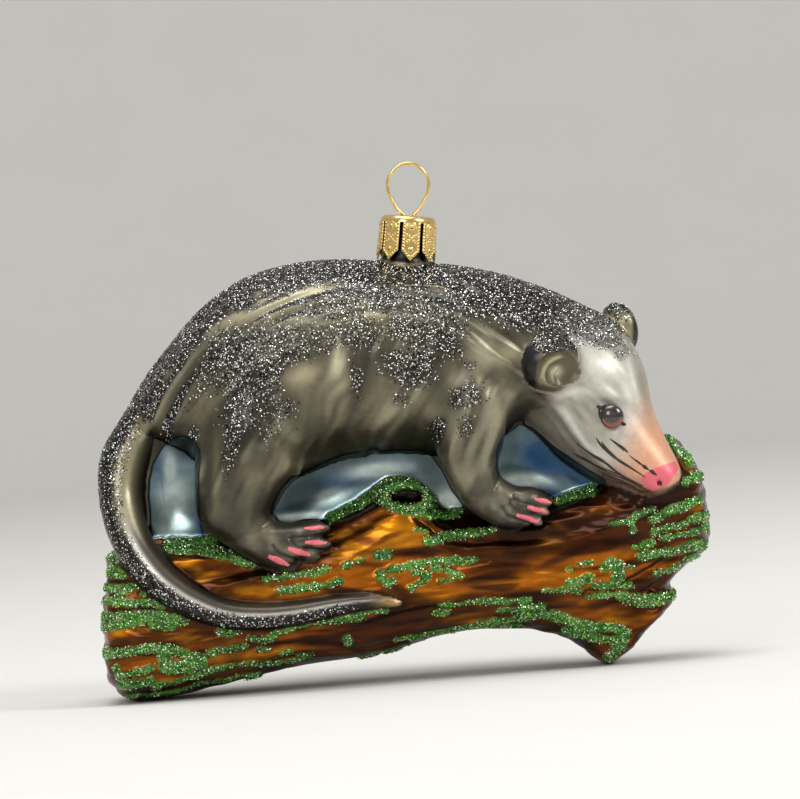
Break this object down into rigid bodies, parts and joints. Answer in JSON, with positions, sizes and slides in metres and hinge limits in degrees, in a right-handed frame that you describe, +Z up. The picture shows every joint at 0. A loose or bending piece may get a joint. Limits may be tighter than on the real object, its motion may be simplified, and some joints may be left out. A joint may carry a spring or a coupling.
{
  "type": "blown-glass opossum ornament",
  "caption": "Hanging ornament of mould-blown painted glass: an opossum walks along a mossy log, under a gilt crown cap with a wire ring.",
  "frame": {"origin": "under the middle of the ornament, at the level of the two flats it stands on", "axes": "+X along the log towards the animal's nose, +Z up, -Y the near face that the tail crosses"},
  "size_m": [0.1264, 0.0446, 0.1063],
  "materials": {
    "fur_lacquer": "silvered inside, pearlescent olive-grey lacquer outside, silver and dark glitter along the back",
    "face_lacquer": "pearlescent white-grey lacquer that turns peach at the muzzle and pink at the nose",
    "paw_lacquer": "grey-brown pearlescent lacquer with pink claws",
    "eye_lacquer": "glossy dark brown and amber lacquer",
    "bark_lacquer": "translucent amber to brown lacquer over silvered glass, with raised green glitter for moss",
    "panel_lacquer": "silver-blue translucent lacquer with deep blue shading",
    "cap_metal": "gilt, embossed sheet and wire"
  },
  "bodies": {
    "root": {"torso": "fur_lacquer", "neck": "fur_lacquer", "ear_near": "fur_lacquer", "ear_far": "fur_lacquer", "hind_leg_near": "fur_lacquer", "hind_leg_far": "fur_lacquer", "foreleg_near": "fur_lacquer", "foreleg_far": "fur_lacquer", "tail_base": "fur_lacquer", "tail_middle": "fur_lacquer", "tail_tip": "fur_lacquer", "glass_neck": "fur_lacquer", "head": "face_lacquer", "hind_paw_near": "paw_lacquer", "hind_paw_far": "paw_lacquer", "fore_paw_near": "paw_lacquer", "fore_paw_far": "paw_lacquer", "eye_near": "eye_lacquer", "eye_far": "eye_lacquer", "log": "bark_lacquer", "log_stub": "bark_lacquer", "panel_rear": "panel_lacquer", "panel_middle": "panel_lacquer", "panel_front": "panel_lacquer", "crown_cap": "cap_metal", "hanger_ring": "cap_metal"}
  },
  "joints": []
}
